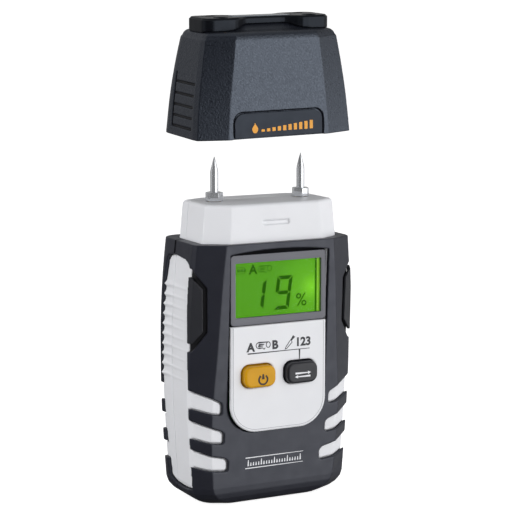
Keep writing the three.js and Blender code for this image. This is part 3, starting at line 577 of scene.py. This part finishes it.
def plates(name, shapes, y0, y1):
    return [plate(f"{name}_{i}", loops, y0, y1) for i, loops in enumerate(shapes)]


def printed(name, parts, body, material, surface=None):
    """Prints a group of shapes; surface(z) gives how far back the face lies at that height."""
    made = joined(name, parts)
    if surface:
        for vert in made.data.vertices:
            vert.co.y += surface(vert.co.z)
    return placed(made, body, material)


def log_icon(x, z, length, height, width):
    """A cut log: two long sides, a round end and its inner ring."""
    left, right, h = x - length / 2, x + length / 2, height / 2
    return [line(arc(left + h, z, h, h, 90, 270), width),
            line([(left + h, z + h), (right - h * 0.8, z + h)], width),
            line([(left + h, z - h), (x - 0.2, z - h), (x + 0.35, z - h - 0.5), (x + 0.8, z - h)], width),
            ring(arc(right - h * 0.8, z, h * 0.8, h, 0, 342, 19), width),
            line([(left + h, z + 0.25 * h), (x + 0.4, z + 0.25 * h)], width),
            line([(left + 0.8 * h, z - 0.3 * h), (x, z - 0.3 * h)], width)]


INK = {
    "ink_dark": moulded("ink_dark", "#2B2C31", rough=0.5, depth=0.004),
    # Grey for a painted shade line at the panel's rounded edge.
    "rim_shade_grey": moulded("rim_shade_grey", "#9C9DA3", rough=0.5, depth=0.004),
    "ink_white": moulded("ink_white", "#E9EAEE", rough=0.5, depth=0.004),
    "ink_orange": moulded("ink_orange", "#E8A23A", rough=0.5, depth=0.004),
    "ink_brown": moulded("ink_brown", "#2A1604", rough=0.5, depth=0.004),
    "lcd_segment": moulded("lcd_segment", "#265E00", rough=0.4, depth=0.003, specular=0.02),
    "lcd_faint": moulded("lcd_faint", "#2B6A02", rough=0.4, depth=0.003, specular=0.02),
    "lcd_band": moulded("lcd_band", "#357A06", rough=0.4, depth=0.003, specular=0.02),
    "lcd_light": moulded("lcd_light", "#A6F048", rough=0.4, depth=0.003, specular=0.02),
    # Black for painted shade in gaps, seams and round the display.
    "painted_shade": moulded("painted_shade_black", "#0E0E11", rough=0.85, grain=0.3, depth=0.05, specular=0.2),
}

# ---------- display: printed frame, clear window, painted shade round the frame, segments ---
PANEL_Y, LENS_BOTTOM_Z, LENS_TOP_Z = -16.3, 64.0, 88.8
window = rounded(-16.96, 16.96, 66.6, 86.0, 0.35, 4)
lens = plate("display_frame", [rounded(-18.8, 18.8, LENS_BOTTOM_Z, LENS_TOP_Z, 1.3), window],
             PANEL_Y, PANEL_Y + 1.2)
modifier(lens, "BEVEL", width=0.16, segments=3, limit_method="ANGLE", angle_limit=math.radians(50))
baked(lens)
smooth(lens, 35)
placed(lens, "handle", MATERIALS["lens"], ["display_lens"])
pane = plate("display_pane", [rounded(-16.94, 16.94, 66.62, 85.98, 0.34, 4)],
             PANEL_Y + 0.08, PANEL_Y + 1.15)
placed(pane, "handle", pane_material())

# A black sheet behind the frame, showing round it, is painted shade in the display's recess; its top edge
# rises in a shallow arch over the display.
crescent = [(19.1 * (1 - 2 * t), 89.1 + 4.8 * t * (1 - t)) for t in (i / 16 for i in range(17))]
painted_shade = plate("display_recess_shade", [[(-19.1, 62.6), (19.1, 62.6)] + crescent,
                                  [(-18.15, 64.65), (18.15, 64.65), (18.15, 88.15), (-18.15, 88.15)]],
               PANEL_Y + 1.3, PANEL_Y + 1.85)
placed(painted_shade, "handle", INK["painted_shade"])

# The marks lie a little behind the window, and are set over by what the slanted view takes off.
LCD_FRONT = (-14.79, -14.73)
BEHIND_X, BEHIND_Z = 0.79, -0.2


def digit_segments(x, z, w, h, t, which, slant=0.14):
    """A digit of seven bars, w by h with its foot at (x, z) and bars t thick."""
    g, half = 0.28, h / 2  # g is the gap between bars
    upper = [(w, h - g), (w, half + g), (w - t * 0.5, half + g * 0.4), (w - t, half + t * 0.5 + g * 0.3),
             (w - t, h - t - g)]
    top = [(g, h), (w - g, h), (w - t - g * 0.6, h - t), (t + g * 0.6, h - t)]
    middle = [(t * 0.5 + g, half), (t + g * 0.6, half + t / 2), (w - t - g * 0.6, half + t / 2),
              (w - t * 0.5 - g, half), (w - t - g * 0.6, half - t / 2), (t + g * 0.6, half - t / 2)]

    def flip(points, over_x, over_z):
        return [(w - a if over_x else a, h - b if over_z else b) for a, b in points]

    every = {"a": top, "b": upper, "c": flip(upper, 0, 1), "d": flip(top, 0, 1),
             "e": flip(upper, 1, 1), "f": flip(upper, 1, 0), "g": middle}
    return [[[(x + BEHIND_X + a + slant * b, z + BEHIND_Z + b) for a, b in every[k]]] for k in which]


placed(joined("lcd_digits", plates("digit", digit_segments(-8.15, 69.0, 1.9, 10.9, 1.35, "bc")
                                   + digit_segments(-2.2, 68.5, 6.1, 12.0, 1.3, "abcdfg"), *LCD_FRONT)
              + [lettering("percent", "%", 6.6, 9.0 + BEHIND_X, 71.2 + BEHIND_Z, *LCD_FRONT)]
              + [lettering("letter", "A", 4.6, -10.2 + BEHIND_X, 83.3 + BEHIND_Z, *LCD_FRONT, weight=0.12)]),
       "handle", INK["lcd_segment"])
cell_x, cell_z = -15.1 + BEHIND_X, 83.4 + BEHIND_Z
faint = [ring(rounded(cell_x - 1.9, cell_x + 1.5, cell_z - 1.1, cell_z + 1.1, 0.1, 1), 0.16),
         [[(cell_x + 1.6, cell_z - 0.5), (cell_x + 2, cell_z - 0.5), (cell_x + 2, cell_z + 0.5),
           (cell_x + 1.6, cell_z + 0.5)]]]
faint += [[[(cell_x + a, cell_z - 0.45), (cell_x + a + 0.8, cell_z - 0.45),
            (cell_x + a + 0.8, cell_z + 0.45), (cell_x + a, cell_z + 0.45)]] for a in (-1.2, 0.15)]
faint += log_icon(-5.6 + BEHIND_X, 83.5 + BEHIND_Z, 5.4, 2.0, 0.2)
placed(joined("lcd_icons", plates("icon", faint, *LCD_FRONT)), "handle", INK["lcd_faint"])


def upright_band(name, x, width, ink):
    shape = [(x, 64.9), (x + width, 64.9), (x + width, 87.9), (x, 87.9)]
    placed(plate(name, [shape], *LCD_FRONT), "handle", INK[ink])


# A dark and a bright green band along the display's right edge.
EDGE_BAND_X = 15.25
upright_band("lcd_edge_band", EDGE_BAND_X, 0.75, "lcd_band")
upright_band("lcd_edge_light", EDGE_BAND_X + 0.76, 0.9, "lcd_light")

# ---------- marks on the panel, the keys, the handle and the cap ----------
def handle_front(z):
    """How far back the jacket's front lies at height z."""
    return -12.1 - 0.0735 * z + 0.000133 * z * z


def panel_edge(half, foot, radius, top):
    """The panel's outline from its top left round the foot to its top right."""
    turns = [arc(side * (half - radius), foot + radius, radius, radius, start, start + 90, 14)
             for side, start in ((-1, 180), (1, 270))]
    return [(-half, top)] + turns[0] + turns[1] + [(half, top)]


# A black line in the gap between the panel and the jacket is painted shade.
printed("panel_gap_shade", plates("gap_shade", [line(panel_edge(19.15, 25.15, 10.65, 63.4), 0.7)], 0.4, 0.9),
        "handle", INK["painted_shade"], handle_front)

PRINT_DEPTH = 0.05
panel_print = (PANEL_Y - PRINT_DEPTH, PANEL_Y + PRINT_DEPTH)
brush = [line([(6.1, 58.6), (4.95, 57.2)], 0.55),
         ring([(4.9, 57.5), (4.35, 56.9), (2.75, 54.75), (2.6, 54.2), (3.2, 54.35), (5.3, 56.4)], 0.28)]
# A fine grey line round the panel's edge is painted shade where the edge turns over in its round.
printed("panel_rim_shade_line", plates("rim_shade", [line(panel_edge(18, 26.3, 9.5, 63.3), 0.14)], *panel_print),
        "handle", INK["rim_shade_grey"])
panel_marks = [line([(-12.3, 53.7), (12.4, 53.7)], 0.22), line([(8.3, 53.7), (8.3, 49.4)], 0.3)]
panel_marks += brush + log_icon(-6.2, 56.4, 5.6, 2.0, 0.3)
printed("panel_marks", plates("mark", panel_marks, *panel_print) + [
    lettering("mark_a", "A", 4.2, -11.1, 55.8, *panel_print, weight=0.19),
    lettering("mark_b", "B", 4.2, -1.5, 56.0, *panel_print, weight=0.19),
    lettering("mark_numbers", "123", 4.2, 9.75, 56.2, *panel_print, weight=0.16)],
    "handle", INK["ink_dark"])

KEY_FRONT = (-18.95, -18.85)
power_marks = [line(arc(-7.5, 44.6, 1.68, 1.68, 125, 415, 26), 0.64),
               line([(-7.5, 44.75), (-7.5, 46.6)], 0.56)]
printed("power_mark", plates("power", power_marks, *KEY_FRONT), "power_key", INK["ink_brown"])
# Two arrows, one each way, stand for stepping through the modes.
mode_marks = []
for way in (-1, 1):
    x, z = 8.35, 44.9 + way * 0.62
    mode_marks += [line([(x - way * 3, z), (x + way * 2.1, z)], 0.34),
                   [[(x + way * 2, z + 0.62), (x + way * 3.2, z), (x + way * 2, z - 0.62)]]]
printed("mode_mark", plates("mode", mode_marks, *KEY_FRONT), "mode_key", INK["ink_white"])


# A plain scale of ticks between two lines.
ticks = [line([(-11.6, z), (11.6, z)], 0.18) for z in (11.5, 15.4)]
ticks += [line([(x, 12.35), (x, 14.55 if i % 5 == 0 else 13.6)], 0.27)
          for i, x in enumerate(-10.5 + 1.05 * i for i in range(21))]
printed("handle_scale", plates("tick", ticks, -PRINT_DEPTH, 0.04), "handle", INK["ink_white"], handle_front)

# A drop and a row of rising bars on the cap's badge.
CAP_SEAT_Z = 93.1
drop = [[(-9.3 + 1.15 * math.sin(a) * (1 if math.cos(a) < 0 else 1 - 0.62 * math.cos(a)),
          CAP_SEAT_Z + 3.5 + 1.6 * math.cos(a) + (0.35 if math.cos(a) > 0.95 else 0))
         for a in (2 * math.pi * i / 28 for i in range(28))]]
bars = [[[(x - 0.62, CAP_SEAT_Z + 2.3), (x + 0.62, CAP_SEAT_Z + 2.3), (x + 0.62, CAP_SEAT_Z + top),
          (x - 0.62, CAP_SEAT_Z + top)]]
        for x, top in ((-6.2 + 2.1 * i, 3.1 + 0.24 * i) for i in range(10))]
printed("badge_scale", plates("bar", [drop] + bars, -PRINT_DEPTH, 0.04), "cap", INK["ink_orange"],
        lambda z: -16.3 + 0.0357 * (z - CAP_SEAT_Z))


# Black boxes in the open seam between the jacket's halves on its collar: painted shade inside it.
SEAM_TOP, SEAM_FOOT = (30.53, 92.7), (31.08, 88.2)  # (x, z) on the jacket's side
for side, word in ((-1, "left"), (1, "right")):
    corners = [(side * (x + out), y, z) for x, z in (SEAM_FOOT, SEAM_TOP) for out in (-1.2, 0.1)
               for y in (3.4, 4.2)]
    seam = mesh_object(f"collar_seam_shade_{word}", corners, [
        (0, 1, 3, 2), (4, 6, 7, 5), (0, 2, 6, 4), (1, 5, 7, 3), (0, 4, 5, 1), (2, 3, 7, 6)])
    placed(seam, "handle", INK["painted_shade"])


# ---------- stage and light ----------
def plain_floor():
    """A pale floor. It takes the object's shadow, and reflections see the room instead of it."""
    bpy.ops.mesh.primitive_plane_add(size=120, location=(0, 0, -0.0001))
    floor = bpy.context.object
    floor.name = "floor"
    material, tree, shader, where = node_material("floor")
    tree.links.new(ramp(tree, noise(tree, where, 400), [(0.3, (0.86, 0.86, 0.87, 1)),
                                                        (0.7, (0.88, 0.88, 0.88, 1))]),
                   shader.inputs["Base Color"])
    shader.inputs["Roughness"].default_value = 1
    shader.inputs["Specular IOR Level"].default_value = 0
    shader.inputs["Emission Color"].default_value = (1, 1, 1, 1)
    shader.inputs["Emission Strength"].default_value = FLOOR_GLOW
    floor.data.materials.append(material)
    floor.visible_glossy = False
    floor.visible_diffuse = False


def area_light(name, azimuth, elevation, size, power, mirrored=True):
    """A soft box a metre away; one that isn't mirrored lights the object without showing in its gloss."""
    lamp = bpy.data.lights.new(name, "AREA")
    lamp.shape = "RECTANGLE"
    lamp.size, lamp.size_y = size
    lamp.energy = power
    made = bpy.data.objects.new(name, lamp)
    a, e = math.radians(azimuth), math.radians(elevation)
    outward = Vector((math.sin(a) * math.cos(e), -math.cos(a) * math.cos(e), math.sin(e)))
    made.location = Vector((0, 0, 0.085)) + outward
    made.rotation_euler = outward.to_track_quat("Z", "Y").to_euler()
    made.visible_glossy = mirrored
    scene.collection.objects.link(made)


def world_node(kind, inputs, **settings):
    node = world_tree.nodes.new(kind)
    for key, value in settings.items():
        setattr(node, key, value)
    for name, value in inputs.items():
        if isinstance(value, bpy.types.NodeSocket):
            world_tree.links.new(value, node.inputs[name])
        else:
            node.inputs[name].default_value = value
    return node.outputs


def toward(azimuth, elevation, edge, core):
    """1 within core degrees of a direction of the room, falling to 0 at edge degrees."""
    a, e = math.radians(azimuth), math.radians(elevation)
    towards = (math.sin(a) * math.cos(e), -math.cos(a) * math.cos(e), math.sin(e))
    near = world_node("ShaderNodeVectorMath", {0: view_direction, 1: towards}, operation="DOT_PRODUCT")
    return world_node("ShaderNodeMapRange", {
        "Value": near["Value"], "From Min": math.cos(math.radians(edge)),
        "From Max": math.cos(math.radians(core))}, interpolation_type="SMOOTHSTEP")["Result"]


FLOOR_GLOW = 0.78
plain_floor()
world = bpy.data.worlds.new("world")
world.use_nodes = True
scene.world = world
world_tree = world.node_tree
background = next(n for n in world_tree.nodes if n.type == "BACKGROUND")
view_direction = world_node("ShaderNodeTexCoord", {})["Generated"]
# Bright parts of a white studio: (azimuth, elevation, edge, core, strength). Between them it is dim.
DIM_LIGHT = 0.06
room = DIM_LIGHT
for azimuth, elevation, edge, core, strength in (
        (34, 0, 42, 18, 2.3), (114, 0, 44, 18, 0.6), (-112, 8, 26, 12, 0.45), (0, 90, 55, 20, 0.3),
        (180, 20, 50, 20, 0.3)):
    lobe = toward(azimuth, elevation, edge, core)
    room = world_node("ShaderNodeMath", {0: lobe, 1: strength, 2: room}, operation="MULTIPLY_ADD")["Value"]
# The camera sees plain white behind the object.
camera_ray = world_node("ShaderNodeLightPath", {})["Is Camera Ray"]
world_tree.links.new(world_node("ShaderNodeMath", {0: camera_ray, 1: room}, operation="MAXIMUM")["Value"],
                     background.inputs["Strength"])
background.inputs["Color"].default_value = (1, 1, 1, 1)
area_light("front_fill", -14, 8, (0.9, 0.9), 6.4, mirrored=False)
area_light("left_fill", -102, 8, (0.5, 0.8), 8.6, mirrored=False)
area_light("right_fill", 85, 10, (0.5, 0.8), 2.4, mirrored=False)

# ---------- CAD nodes left as they are: small rounds and their own material ----------
handled = {n for o in bpy.data.objects if "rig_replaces" in o for n in o["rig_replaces"]}
BEVEL_WIDTH = {"battery": 0.0, "spring": 0.0, "lead": 0.0, "contact": 0.1, "screw": 0.08}
for node in nodes:
    if node not in handled:
        width = next((w for word, w in BEVEL_WIDTH.items() if word in node), 0.15)
        bevelled(node, width)
# The display's glow stays within its window.
lit = bpy.data.objects["lcd_glass_fine"]
lit.visible_diffuse = lit.visible_glossy = False
